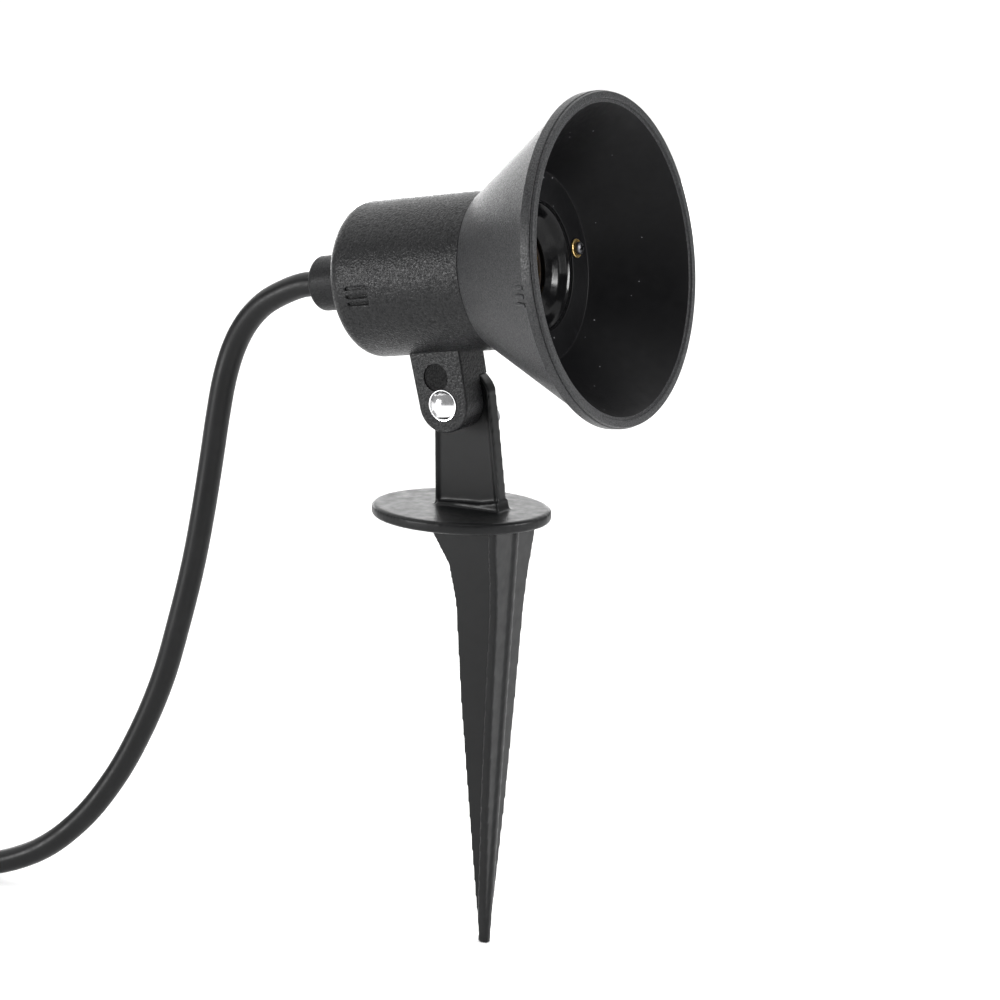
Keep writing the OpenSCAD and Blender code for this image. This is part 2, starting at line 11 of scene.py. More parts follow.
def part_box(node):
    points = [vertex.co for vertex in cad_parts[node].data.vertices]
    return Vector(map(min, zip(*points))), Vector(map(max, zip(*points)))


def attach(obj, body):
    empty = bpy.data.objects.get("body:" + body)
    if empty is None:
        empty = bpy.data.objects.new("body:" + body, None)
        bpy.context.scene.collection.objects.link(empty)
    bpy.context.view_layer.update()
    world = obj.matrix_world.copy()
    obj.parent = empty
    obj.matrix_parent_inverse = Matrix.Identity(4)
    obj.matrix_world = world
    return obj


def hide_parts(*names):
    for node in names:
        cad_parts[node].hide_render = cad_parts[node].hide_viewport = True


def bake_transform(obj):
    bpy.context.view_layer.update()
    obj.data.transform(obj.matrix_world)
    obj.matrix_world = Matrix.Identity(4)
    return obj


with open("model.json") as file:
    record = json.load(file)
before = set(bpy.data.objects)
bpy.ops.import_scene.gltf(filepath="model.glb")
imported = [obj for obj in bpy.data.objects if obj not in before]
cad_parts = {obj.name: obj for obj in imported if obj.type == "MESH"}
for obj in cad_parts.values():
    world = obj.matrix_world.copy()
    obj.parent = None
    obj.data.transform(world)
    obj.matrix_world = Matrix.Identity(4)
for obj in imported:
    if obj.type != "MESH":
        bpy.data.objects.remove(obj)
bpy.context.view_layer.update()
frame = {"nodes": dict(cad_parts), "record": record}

MM = 0.001
TURN = 2 * math.pi

# ---------- the head's own frame: X along the beam, Y sideways, Z up from the beam ----------

record = frame["record"]
tilt_joint = next(j for j in record["behaviour"]["joints"] if j["name"] == "head_tilt")
socket_mount = next(m for m in record["mounts"] if m["name"] == "lamp_socket")
pivot = Vector(tilt_joint["pos_m"])
beam = Vector(socket_mount["axis"]).normalized()
sideways = Vector((0, 1, 0))
upwards = beam.cross(sideways)
socket_at = Vector(socket_mount["pos_m"])
SOCKET_AHEAD = 29 * MM      # the socket mount's distance in front of the head's middle
TURNED = Matrix((beam, sideways, upwards)).transposed().to_4x4()
HEAD = Matrix.Translation(socket_at - beam * SOCKET_AHEAD) @ TURNED
LUG = Matrix.Translation((pivot.x, 0, pivot.z)) @ TURNED
axis_height = (HEAD.translation - pivot).dot(upwards)
PART = Matrix.Identity(4)


def reach(node, matrix=HEAD):
    """Lowest and highest corner of a CAD node, in the given frame."""
    inverse = matrix.inverted()
    points = [inverse @ v.co for v in frame["nodes"][node].data.vertices]
    low = Vector([min(p[i] for p in points) for i in range(3)])
    high = Vector([max(p[i] for p in points) for i in range(3)])
    return low, high


# ---------- sizes read from the frame ----------

housing_low, housing_high = reach("rear_housing")
shade_low, shade_high = reach("front_shade")
nut_low, nut_high = reach("gland_nut")
shell_front = reach("screw_shell")[1].x
housing_back = reach("gland_washer")[1].x
housing_r = housing_high.z
seam = shade_low.x
rim_front = shade_high.x
rim_r = shade_high.z
nut_r = nut_high.z
gland_back = nut_low.x
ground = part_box("stake")[0][2]
cord_d = 9.2 * MM

# ---------- mesh helpers ----------

NEARLY_STRAIGHT = math.radians(89.5)    # half the angle at a corner that is too flat to round
WELD = 2e-6                             # vertices closer than this become one
EASED_ANGLE = math.radians(30)          # edges that turn by more than this are eased


def round_corners(corners, steps=6):
    """Closed outline through corners (x, y, radius), each rounded to its radius."""
    points = []
    count = len(corners)
    for i, (x, y, radius) in enumerate(corners):
        here = Vector((x, y))
        back = Vector(corners[i - 1][:2]) - here
        ahead = Vector(corners[(i + 1) % count][:2]) - here
        half = back.angle(ahead, math.pi) / 2
        if radius <= 0 or half > NEARLY_STRAIGHT:
            points.append(here)
            continue
        cut = min(radius / math.tan(half), 0.49 * back.length, 0.49 * ahead.length)
        radius = cut * math.tan(half)
        start = here + back.normalized() * cut
        end = here + ahead.normalized() * cut
        centre = here + (back.normalized() + ahead.normalized()).normalized() * radius / math.sin(half)
        for k in range(steps + 1):
            arm = (start - centre).lerp(end - centre, k / steps)
            points.append(centre + arm.normalized() * radius)
    return points


def mesh_object(name, verts, faces, matrix=PART, sharp=35):
    """New object from verts in the given frame, smooth but for its sharp edges."""
    mesh = bpy.data.meshes.new(name)
    mesh.from_pydata([matrix @ Vector(v) for v in verts], [], faces)
    work = bmesh.new()
    work.from_mesh(mesh)
    bmesh.ops.remove_doubles(work, verts=work.verts, dist=WELD)
    bmesh.ops.recalc_face_normals(work, faces=work.faces)
    work.to_mesh(mesh)
    work.free()
    mesh.shade_smooth()
    mesh.set_sharp_from_angle(angle=math.radians(sharp))
    obj = bpy.data.objects.new(name, mesh)
    bpy.context.scene.collection.objects.link(obj)
    return obj


def split_long(profile, longest):
    """Closed profile with extra points on every side longer than longest."""
    points = []
    for i, point in enumerate(profile):
        here, ahead = Vector(point), Vector(profile[(i + 1) % len(profile)])
        parts = max(1, math.ceil((ahead - here).length / longest))
        points += [here.lerp(ahead, k / parts) for k in range(parts)]
    return points


def lathe(name, profile, matrix=HEAD, steps=160, wave=None, sharp=35):
    """Closed profile of (along, radius) points turned round the frame's X axis. wave changes a radius."""
    verts = []
    for i in range(steps):
        angle = TURN * i / steps
        for along, radius in profile:
            r = radius if wave is None else radius + wave(along, radius, angle)
            verts.append((along, r * math.cos(angle), r * math.sin(angle)))
    size = len(profile)
    faces = []
    for i in range(steps):
        for k in range(size):
            a, b = i * size + k, i * size + (k + 1) % size
            c, d = (i + 1) % steps * size + (k + 1) % size, (i + 1) % steps * size + k
            faces.append((a, b, c, d))
    return mesh_object(name, verts, faces, matrix, sharp)


def plate(name, outline, y0, y1, matrix=PART, bevel=0.5 * MM):
    """Outline in X and Z, thick from y0 to y1, with its edges eased."""
    count = len(outline)
    verts = [(x, y0, z) for x, z in outline] + [(x, y1, z) for x, z in outline]
    faces = [tuple(range(count)), tuple(range(2 * count - 1, count - 1, -1))]
    faces += [(k, (k + 1) % count, (k + 1) % count + count, k + count) for k in range(count)]
    obj = mesh_object(name, verts, faces, matrix, sharp=25)
    if bevel:
        ease_edges(obj, bevel)
    return obj


def ease_edges(obj, width):
    """Rounds the sharp edges of obj by width."""
    bevel = obj.modifiers.new("ease", "BEVEL")
    bevel.width = width
    bevel.segments = 3
    bevel.limit_method = "ANGLE"
    bevel.angle_limit = EASED_ANGLE
    bevel.harden_normals = True


def keep_faces_flat(obj):
    """Lets the large faces set the normals, so that they shade flat beside small rounded edges."""
    normals = obj.modifiers.new("normals", "WEIGHTED_NORMAL")
    normals.keep_sharp = True
    normals.weight = 90


def block(name, low, high, matrix=PART, bevel=0.3 * MM):
    """Box between two opposite corners, with its edges eased."""
    outline = [(low[0], low[2]), (high[0], low[2]), (high[0], high[2]), (low[0], high[2])]
    return plate(name, outline, low[1], high[1], matrix, bevel)


def bake(obj):
    """Turns an object's modifiers into its own mesh."""
    bpy.context.view_layer.update()
    graph = bpy.context.evaluated_depsgraph_get()
    mesh = bpy.data.meshes.new_from_object(obj.evaluated_get(graph))
    obj.modifiers.clear()
    obj.data = mesh
    return obj


def cut(obj, cutters):
    """Takes the cutters away from obj."""
    for cutter in cutters:
        boolean = obj.modifiers.new("cut", "BOOLEAN")
        boolean.operation = "DIFFERENCE"
        boolean.object = cutter
        boolean.solver = "EXACT"
    bake(obj)
    for cutter in cutters:
        bpy.data.objects.remove(cutter)
    return obj


def merge(name, objects):
    """Joins objects, with their modifiers made real, into one object."""
    joined = bmesh.new()
    for obj in objects:
        bake(obj)
        joined.from_mesh(obj.data)
    mesh = bpy.data.meshes.new(name)
    joined.to_mesh(mesh)
    joined.free()
    for obj in objects:
        bpy.data.objects.remove(obj)
    result = bpy.data.objects.new(name, mesh)
    bpy.context.scene.collection.objects.link(result)
    return result


def softened(node, name, voxel, smooth):
    """Copy of a CAD node with every edge and inner corner rounded, as a moulding has."""
    mesh = frame["nodes"][node].data.copy()
    obj = bpy.data.objects.new(name, mesh)
    bpy.context.scene.collection.objects.link(obj)
    remesh = obj.modifiers.new("voxels", "REMESH")
    remesh.mode = "VOXEL"
    remesh.voxel_size = voxel
    blur = obj.modifiers.new("blur", "SMOOTH")
    blur.factor = 0.5
    blur.iterations = smooth
    bake(obj)
    obj.data.shade_smooth()
    return obj


def smooth_path(points, gap):
    """Evenly dense points on a Catmull-Rom curve through the given ones."""
    points = [Vector(p) for p in points]
    path = []
    for i in range(len(points) - 1):
        p1, p2 = points[i], points[i + 1]
        p0 = points[i - 1] if i else p1 * 2 - p2
        p3 = points[i + 2] if i + 2 < len(points) else p2 * 2 - p1
        steps = max(2, round((p2 - p1).length / gap))
        for k in range(steps):
            t = k / steps
            path.append(
                0.5 * (2 * p1 + (p2 - p0) * t + (2 * p0 - 5 * p1 + 4 * p2 - p3) * t ** 2
                       + (3 * p1 - p0 - 3 * p2 + p3) * t ** 3)
            )
    path.append(points[-1])
    return path


def swept_tube(name, path, radius, sides=20):
    """Round tube along a path, its frame carried along without twist."""
    ahead = (path[1] - path[0]).normalized()
    across = ahead.orthogonal().normalized()
    last = len(path) - 1
    verts = []
    for i, point in enumerate(path):
        ahead = (path[min(i + 1, last)] - path[max(i - 1, 0)]).normalized()
        across = (across - ahead * across.dot(ahead)).normalized()
        up = ahead.cross(across)
        for k in range(sides):
            angle = TURN * k / sides
            verts.append(point + radius * (math.cos(angle) * across + math.sin(angle) * up))
    faces = [tuple(range(sides - 1, -1, -1)), tuple(range(last * sides, (last + 1) * sides))]
    for i in range(last):
        for k in range(sides):
            n = (k + 1) % sides
            faces.append((i * sides + k, i * sides + n, (i + 1) * sides + n, (i + 1) * sides + k))
    return mesh_object(name, verts, faces, sharp=50)


def finish_piece(obj, body, material, nodes=()):
    """Gives a piece its material and body, and hides the CAD nodes that it stands for."""
    obj.data.materials.clear()
    obj.data.materials.append(material)
    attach(obj, body)
    if nodes:
        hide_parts(*nodes)
    return obj


# ---------- materials ----------


class Look:
    """A procedural material under construction: a Principled shader and what feeds it."""

    def __init__(self, name, color, roughness, metallic=0.0, specular=0.5):
        self.material = bpy.data.materials.new(name)
        self.material.use_nodes = True
        self.nodes = self.material.node_tree.nodes
        self.links = self.material.node_tree.links
        self.shader = self.nodes["Principled BSDF"]
        self.shader.inputs["Base Color"].default_value = (*color, 1)
        self.shader.inputs["Roughness"].default_value = roughness
        self.shader.inputs["Metallic"].default_value = metallic
        self.shader.inputs["Specular IOR Level"].default_value = specular
        self.place = self.nodes.new("ShaderNodeTexCoord").outputs["Object"]
        self.normal = None

    def noise(self, size, detail=3.0, stretch=None, roughness=0.55):
        """Noise whose features are about size metres across."""
        place = self.place
        if stretch:
            mapping = self.nodes.new("ShaderNodeMapping")
            mapping.inputs["Scale"].default_value = stretch
            self.links.new(place, mapping.inputs["Vector"])
            place = mapping.outputs["Vector"]
        node = self.nodes.new("ShaderNodeTexNoise")
        node.inputs["Scale"].default_value = 1 / size
        node.inputs["Detail"].default_value = detail
        node.inputs["Roughness"].default_value = roughness
        self.links.new(place, node.inputs["Vector"])
        return node.outputs["Fac"]

    def specks(self, spacing, radius):
        """1 in small round specks, a few of them in every spacing of the surface, 0 elsewhere."""
        node = self.nodes.new("ShaderNodeTexVoronoi")
        node.inputs["Scale"].default_value = 1 / spacing
        self.links.new(self.place, node.inputs["Vector"])
        return self.spread(node.outputs["Distance"], 1.0, 0.0, 0.7 * radius / spacing, radius / spacing)

    def spread(self, source, low, high, start=0.3, end=0.7):
        """Maps a value's range from start to end, to low..high."""
        node = self.nodes.new("ShaderNodeMapRange")
        for key, value in (("From Min", start), ("From Max", end), ("To Min", low), ("To Max", high)):
            node.inputs[key].default_value = value
        self.links.new(source, node.inputs["Value"])
        return node.outputs["Result"]

    def mix(self, factor, a, b):
        """Mixes two colours or colour outputs. The node's sockets 6, 7 and 2 are its colour ones."""
        node = self.nodes.new("ShaderNodeMix")
        node.data_type = "RGBA"
        for socket, value in ((node.inputs[0], factor), (node.inputs[6], a), (node.inputs[7], b)):
            if isinstance(value, bpy.types.NodeSocket):
                self.links.new(value, socket)
            else:
                socket.default_value = value if isinstance(value, float) else (*value, 1)
        return node.outputs[2]

    def bump(self, height, strength, distance):
        """Adds a bump on top of those before it."""
        node = self.nodes.new("ShaderNodeBump")
        node.inputs["Strength"].default_value = strength
        node.inputs["Distance"].default_value = distance
        self.links.new(height, node.inputs["Height"])
        if self.normal is not None:
            self.links.new(self.normal, node.inputs["Normal"])
        self.normal = node.outputs["Normal"]
        self.links.new(self.normal, self.shader.inputs["Normal"])

    def edges(self, low=0.52, high=0.62):
        """1 on sharp outer edges, 0 elsewhere."""
        geometry = self.nodes.new("ShaderNodeNewGeometry")
        return self.spread(geometry.outputs["Pointiness"], 0.0, 1.0, low, high)

    def paint(self, color_output):
        """Lets an output drive the colour."""
        self.links.new(color_output, self.shader.inputs["Base Color"])

    def polish(self, roughness_output):
        """Lets an output drive the roughness."""
        self.links.new(roughness_output, self.shader.inputs["Roughness"])

    def shine(self, specular_output):
        """Lets an output drive how much light the surface mirrors."""
        self.links.new(specular_output, self.shader.inputs["Specular IOR Level"])


def shade_of(color, factor):
    """Lighter or darker version of a colour."""
    return tuple(min(1.0, c * factor) for c in color)


def moulded_plastic(name, color, roughness, grain, depth, contrast=2.0, edge_wear_and_highlight=1.5, specular=0.25):
    """Spark-eroded moulded plastic: grain in metres, its depth and how much it varies the colour."""
    look = Look(name, color, roughness, specular=specular)
    dark = shade_of(color, 1 / contrast)
    fine = look.noise(grain, 2, roughness=0.6)
    coarse = look.noise(grain * 2.6, 2)
    body = look.mix(look.spread(fine, 0.0, 1.0, 0.36, 0.66), dark, shade_of(color, contrast))
    body = look.mix(look.spread(coarse, 0.35, 0.0), body, dark)
    broad = look.spread(look.noise(30 * MM, 2), 0.15, 0.0)
    body = look.mix(broad, body, (0.0, 0.0, 0.0))
    # Sharp edges lighter: partly rubbed wear, partly a painted highlight along the edges
    look.paint(look.mix(look.edges(), body, shade_of(color, edge_wear_and_highlight)))
    look.polish(look.spread(fine, roughness + 0.1, roughness - 0.08))
    look.shine(look.spread(fine, specular * 0.5, specular * 1.5))
    look.bump(coarse, 0.5, depth)
    look.bump(fine, 1.0, depth)
    return look.material


def gloss_plastic(name, color, roughness, flow=0.25, specular=0.3, dust=0.0):
    """Smooth moulded plastic with slight sink, flow marks, faint scuffs and specks of dust."""
    look = Look(name, color, roughness, specular=specular)
    broad = look.noise(22 * MM, 3)
    body = look.mix(look.spread(broad, 0.0, 1.0), shade_of(color, 0.85), shade_of(color, 1.2))
    scuff = look.noise(0.5 * MM, 5, stretch=(1.0, 1.0, 0.12), roughness=0.75)
    body = look.mix(look.spread(scuff, 0.0, 0.5, 0.66, 0.8), body, shade_of(color, 2.2))
    if dust:
        body = look.mix(look.specks(5 * MM, dust), body, (0.16, 0.16, 0.17))
    # Sharp edges lighter: partly rubbed wear, partly a painted highlight along the edges
    look.paint(look.mix(look.edges(), body, shade_of(color, 1.9)))
    look.polish(look.spread(look.noise(4 * MM, 5), roughness - 0.05, roughness + 0.1))
    look.bump(look.noise(9 * MM, 2), flow, 0.25 * MM)
    look.bump(look.noise(0.6 * MM, 3), 0.12, 0.05 * MM)
    return look.material


def rubber(name, color, roughness, grain=0.25 * MM, dust=0.5, specular=0.5):
    """Soft rubber or vinyl: fine grain, dull dusty patches."""
    look = Look(name, color, roughness, specular=specular)
    dusty = look.noise(14 * MM, 5)
    look.paint(look.mix(look.spread(dusty, 0.0, dust, 0.45, 0.8), color, shade_of(color, 2.0)))
    look.polish(look.spread(look.noise(3 * MM, 4), roughness - 0.06, roughness + 0.1))
    look.bump(look.noise(grain, 3), 0.15, 0.04 * MM)
    return look.material


def metal(name, color, roughness, brushed=(1.0, 1.0, 1.0), tarnish=None):
    """Plated or raw metal with fine lines, uneven shine and tarnish in patches."""
    look = Look(name, color, roughness, metallic=1.0)
    patches = look.noise(3 * MM, 5)
    dull = tarnish or shade_of(color, 0.75)
    look.paint(look.mix(look.spread(patches, 0.0, 0.7, 0.45, 0.75), color, dull))
    lines = look.noise(0.25 * MM, 4, stretch=brushed, roughness=0.7)
    look.polish(look.spread(lines, max(0.03, roughness - 0.05), roughness + 0.12))
    look.bump(lines, 0.15, 0.015 * MM)
    return look.material


def phenolic(name, color):
    """Pressed phenolic resin: brown-black, with fine filler specks."""
    look = Look(name, color, 0.34)
    specks = look.noise(0.4 * MM, 3, roughness=0.8)
    look.paint(look.mix(look.spread(specks, 0.0, 0.7, 0.6, 0.75), color, shade_of(color, 2.4)))
    look.polish(look.spread(look.noise(2.5 * MM, 4), 0.28, 0.45))
    look.bump(specks, 0.1, 0.05 * MM)
    return look.material


STAKE = gloss_plastic("stake_plastic", (0.0055, 0.0057, 0.006), 0.34, specular=0.19)
HOUSING = moulded_plastic(
    "housing_plastic", (0.012, 0.0122, 0.0128), 0.32,
    grain=0.8 * MM, depth=0.26 * MM, contrast=1.2, specular=0.17,
)
# Floor of the lug's sunk mark: rougher, and darker than the housing as painted shade in the recess
MARK_FLOOR_SHADED = moulded_plastic(
    "mark_floor_shaded", (0.006, 0.0061, 0.0064), 0.5,
    grain=0.6 * MM, depth=0.3 * MM, contrast=1.2, specular=0.1,
)
SHADE = moulded_plastic(
    "shade_plastic", (0.020, 0.0204, 0.0216), 0.4,
    grain=0.5 * MM, depth=0.12 * MM, contrast=1.3, specular=0.28,
)
# Smooth inside of the shade: its own smooth finish and dust, and a colour ten times darker than the
# outside as painted shade in the hollow
INSIDE_SHADED = gloss_plastic(
    "inside_plastic_shaded", (0.0022, 0.0022, 0.0026), 0.42, flow=0.1, specular=0.1, dust=0.3 * MM,
)
NUT = moulded_plastic(
    "nut_plastic", (0.012, 0.0122, 0.0128), 0.42,
    grain=0.5 * MM, depth=0.12 * MM, contrast=1.2, specular=0.13,
)
CORD = rubber("cord_jacket", (0.005, 0.0051, 0.0054), 0.36, specular=0.19)
SEAL = rubber("seal_rubber", (0.012, 0.012, 0.0124), 0.55)
GASKET = rubber(
    "gasket_rubber", (0.002, 0.002, 0.0023), 0.14, grain=0.8 * MM, dust=0.1, specular=0.12,
)
PLUG = rubber("plug_vinyl", (0.009, 0.009, 0.0094), 0.42, grain=0.4 * MM)
CHROME = metal("chrome_steel", (0.90, 0.90, 0.91), 0.14)
ZINC = metal("zinc_steel", (0.62, 0.63, 0.65), 0.3, tarnish=(0.5, 0.5, 0.46))
DARK_STEEL = metal("dark_steel", (0.09, 0.09, 0.095), 0.38)
BRASS = metal("brass", (0.74, 0.53, 0.22), 0.25, tarnish=(0.42, 0.28, 0.11))
SHELL = metal("shell_brass", (0.76, 0.6, 0.32), 0.28, tarnish=(0.5, 0.37, 0.18))
BLADE = metal(
    "blade_brass", (0.78, 0.66, 0.4), 0.25, brushed=(0.15, 1.0, 1.0), tarnish=(0.55, 0.45, 0.25),
)
PHENOLIC = phenolic("phenolic", (0.022, 0.016, 0.013))
BLACK_PVC = rubber("black_pvc", (0.015, 0.015, 0.015), 0.35)
WHITE_PVC = rubber("white_pvc", (0.75, 0.74, 0.7), 0.35)
GREEN_PVC = rubber("green_pvc", (0.03, 0.2, 0.06), 0.35)
GREEN_STEEL = metal("green_steel", (0.2, 0.42, 0.22), 0.35)
NYLON_GREY = rubber("washer_plastic", (0.25, 0.255, 0.255), 0.45)
NYLON_DARK = rubber("collar_plastic", (0.06, 0.06, 0.06), 0.45)
TIE = rubber("tie_plastic", (0.02, 0.02, 0.021), 0.5)

# ---------- camera ----------

# The camera's place, the point it looks at and its focal length in millimetres
VIEW_FROM = Vector((486.6, -799.8, 228.8)) * MM
VIEW_TO = Vector((18.2, -3.1, 8.9)) * MM
LENS = 95.8


def make_camera():
    """Camera that sees the object from the photo's angle."""
    data = bpy.data.cameras.new("camera")
    data.lens = LENS
    camera = bpy.data.objects.new("camera", data)
    camera.location = VIEW_FROM
    camera.rotation_euler = (VIEW_TO - VIEW_FROM).to_track_quat("-Z", "Y").to_euler()
    bpy.context.scene.collection.objects.link(camera)
    bpy.context.scene.camera = camera


make_camera()

# ---------- cord ----------

cord_pitch = cord_d + 0.2 * MM
cord_r = cord_d / 2
floor_line = ground + cord_r
cord_exit = HEAD @ Vector((gland_back, 0, 0))
coil_low, coil_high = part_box("cord_coil")
coil_centre = (Vector(coil_low) + Vector(coil_high)) / 2
coil_outer = (coil_high[0] - coil_low[0]) / 2 - cord_r
coil_inner = coil_outer - 2 * cord_pitch

# From the gland down to the coil, as in the part's source, in millimetres
HANGING_ROUTE = [
    (-71.5, -6, 77.3), (-81, -6, 72.1), (-89, -6, 64.5), (-95, -6, 55), (-99, -7, 43),
    (-102, -8, 28), (-105, -9, 10), (-108, -11, -10), (-112, -13, -31), (-117, -16, -53),
    (-123, -19, -75), (-131, -23, -96), (-141, -28, -116), (-154, -34, -134),
    (-171, -40, -148), (-193, -47, -156),
]
FLOOR_ROUTE = [(-218, -53), (-248, -58), (-280, -60)]
END_ROUTE = [(-328, -60), (-344, -60), (-360, -60)]

COIL_TURNS = 4
TURNS_IN = 2            # turns that wind inwards, on the floor
WIDENS_AT = 2.3         # turns after which the upper layer winds outwards
CLIMBS_FROM = 1.95      # turns between which the cord climbs on top of the lower layer
CLIMBS_TO = 2.35
TURN_STEPS = 24         # points in each turn
PATH_GAP = 3 * MM       # between the points of the finished path


def coil_point(turns):
    """Point of the stored coil: its first turns wind in on the floor, the rest wind out on top."""
    if turns < TURNS_IN:
        radius = coil_outer - turns * cord_pitch
    elif turns < WIDENS_AT:
        radius = coil_inner
    else:
        widened = (turns - WIDENS_AT) / (COIL_TURNS - WIDENS_AT)
        radius = coil_inner + widened * (coil_outer - coil_inner)
    rise = min(max((turns - CLIMBS_FROM) / (CLIMBS_TO - CLIMBS_FROM), 0), 1)
    rise = rise * rise * (3 - 2 * rise)
    angle = -TURN / 4 - TURN * turns
    return Vector((
        coil_centre.x + radius * math.cos(angle),
        coil_centre.y + radius * math.sin(angle),
        floor_line + rise * cord_pitch,
    ))


def cord_path():
    """The cord's middle line, from the gland over the floor and round the coil to the plug."""
    plug_low, plug_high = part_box("plug_body")
    plug_height = (plug_low[2] + plug_high[2]) / 2
    start = [cord_exit, HEAD @ Vector((gland_back - 8 * MM, 0, 0))]
    start += [Vector(p) * MM for p in HANGING_ROUTE]
    start += [Vector((x * MM, y * MM, floor_line)) for x, y in FLOOR_ROUTE]
    coil = [coil_point(k / TURN_STEPS) for k in range(COIL_TURNS * TURN_STEPS + 1)]
    heights = (floor_line + cord_pitch, plug_height, plug_height)
    end = [Vector((x * MM, y * MM, z)) for (x, y), z in zip(END_ROUTE, heights)]
    return smooth_path(start + coil + end, PATH_GAP)


supply_cord_path = cord_path()
supply_cord = swept_tube("supply_lead", supply_cord_path, cord_r)
supply_cord.data.materials.append(CORD)
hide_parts("supply_cord", "cord_coil", "cord_end")
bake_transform(supply_cord)

# ---------- rear housing ----------

WALL = 3 * MM
SPIGOT_R = 23.8 * MM            # the ring in front of the seam, which the shade fits over
SPIGOT_WALL = 2.4 * MM
SPIGOT_FRONT = housing_high.x
SPIGOT_ROOT = seam - 4 * MM
STUB_R = 7.8 * MM               # the threaded stub at the back, under the gland nut
STUB_BORE = 6.6 * MM
EDGE = 6 * MM                   # radius of the housing's back edge

GROOVE_ANGLES = (90.5, 96.6, 101.8)     # degrees round the beam from the top
GROOVE_BACK = -21.9 * MM
GROOVE_FRONT = -14 * MM
GROOVE_MIDDLE = -18 * MM
GROOVE_HALF = 0.6 * MM          # half a groove's width
GROOVE_DEPTH = 1.1 * MM
GROOVE_SLOPE = math.radians(4)


def head_turned(angle):
    """The head's frame turned about the beam, so that +Z points away at angle from the top."""
    return HEAD @ Matrix.Rotation(math.radians(angle), 4, "X")


def housing_shell():
    """The housing's round body with its spigot, its stub and three sunk grooves."""
    inner = housing_r - WALL
    profile = round_corners([
        (housing_low.x, STUB_BORE, 0.3 * MM),
        (housing_low.x, STUB_R, 0.5 * MM),
        (housing_back, STUB_R, 0.4 * MM),
        (housing_back, housing_r - 0.1 * MM, EDGE),
        (seam - 0.4 * MM, housing_r, 0.5 * MM),
        (seam, housing_r - 0.6 * MM, 0.2 * MM),
        (seam, SPIGOT_R, 0.2 * MM),
        (SPIGOT_FRONT, SPIGOT_R, 0.4 * MM),
        (SPIGOT_FRONT, SPIGOT_R - SPIGOT_WALL, 0.4 * MM),
        (SPIGOT_ROOT, SPIGOT_R - SPIGOT_WALL, 0.4 * MM),
        (SPIGOT_ROOT, inner, 0.4 * MM),
        (housing_back + WALL, inner, EDGE - WALL),
        (housing_back + WALL, STUB_BORE, 0.3 * MM),
    ], steps=10)
    shell = lathe("housing_shell", split_long(profile, 2 * MM), steps=200)
    grooves = [groove_cutter("groove_%d" % i, angle) for i, angle in enumerate(GROOVE_ANGLES)]
    return cut(shell, grooves)


def groove_cutter(name, angle):
    """Long shape with round ends, sunk into the housing's side and deepest at its front end."""
    outline = []
    for centre, start in ((GROOVE_BACK, 0.5), (GROOVE_FRONT, -0.5)):
        turns = [math.pi * (start + k / 8) for k in range(9)]
        outline += [(centre + GROOVE_HALF * math.cos(a), GROOVE_HALF * math.sin(a)) for a in turns]
    lying = head_turned(angle) @ Matrix.Rotation(math.radians(-90), 4, "X")
    slope = Matrix.Rotation(GROOVE_SLOPE, 4, "Z")
    to_side = Matrix.Translation((GROOVE_MIDDLE, -housing_r, 0))
    place = lying @ to_side @ slope @ Matrix.Translation((-GROOVE_MIDDLE, 0, 0))
    return plate(name, outline, -2 * MM, GROOVE_DEPTH, place, 0)


LUG_R = 10 * MM
LUG_OUT = -14.2 * MM        # the lug's outer face, under the bolt's head
LUG_LAP = -3.2 * MM         # its inner face below the root, against the stake's ear
LUG_ROOT = 2.4 * MM         # its inner face at the root
EAR_GAP = 0.4 * MM          # between the stake's ear and the round pocket in the lug's root
LUG_TOP_BACK = -11.7 * MM
LUG_TOP_FRONT = 9.4 * MM
MARK = LUG @ Matrix.Translation((-1.6 * MM, 0, 10 * MM))
MARK_R = 5 * MM
MARK_DEPTH = 0.5 * MM
MARK_MARGIN = 0.1 * MM      # by which a face may lie outside the mark and still belong to its floor


def circle_outline(radius, steps=64):
    """Points of a circle round the middle."""
    angles = [TURN * k / steps for k in range(steps)]
    return [(radius * math.cos(a), radius * math.sin(a)) for a in angles]


def housing_lug():
    """Lug with a half lap: its root has a round pocket, where the stake's ear turns."""
    top = axis_height - housing_r + WALL
    arc = [math.pi + math.pi * k / 24 for k in range(25)]
    outline = [(LUG_R * math.cos(a), LUG_R * math.sin(a)) for a in arc]
    outline += [(LUG_TOP_FRONT, top), (LUG_TOP_BACK, top)]
    lug = bake(plate("lug", outline, LUG_OUT, LUG_ROOT, LUG, 0.6 * MM))
    pocket_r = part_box("stake")[1][2] - pivot.z + EAR_GAP
    past = LUG_ROOT + 1 * MM
    pocket = plate("pocket", circle_outline(pocket_r), LUG_LAP, past, LUG, 0)
    below = block("below", (-20 * MM, LUG_LAP, -20 * MM), (20 * MM, past, 0), LUG, 0)
    return cut(lug, [pocket, below, lug_recess()])


def lug_recess():
    """Cutter for the plain round sunk mark above the bolt."""
    return plate("recess", circle_outline(MARK_R), LUG_OUT - 1 * MM, LUG_OUT + MARK_DEPTH, MARK, 0)


def darken_mark(housing):
    """Gives the coarser floor of the lug's sunk mark the housing's second material, its darker colour
    painted shade in the recess.
    """
    housing.data.materials.append(MARK_FLOOR_SHADED)
    inverse = MARK.inverted()
    for face in housing.data.polygons:
        centre = inverse @ face.center
        sunk = LUG_OUT + MARK_MARGIN < centre.y < LUG_OUT + MARK_DEPTH + MARK_MARGIN
        if sunk and math.hypot(centre.x, centre.z) < MARK_R + MARK_MARGIN:
            face.material_index = 1


def rear_housing():
    """The housing and its lug, one moulding."""
    housing = merge("rear_housing_skin", [housing_shell(), housing_lug()])
    housing.data.set_sharp_from_angle(angle=math.radians(38))
    keep_faces_flat(housing)
    finish_piece(housing, "head", HOUSING, ["rear_housing"])
    darken_mark(housing)


# ---------- shade ----------

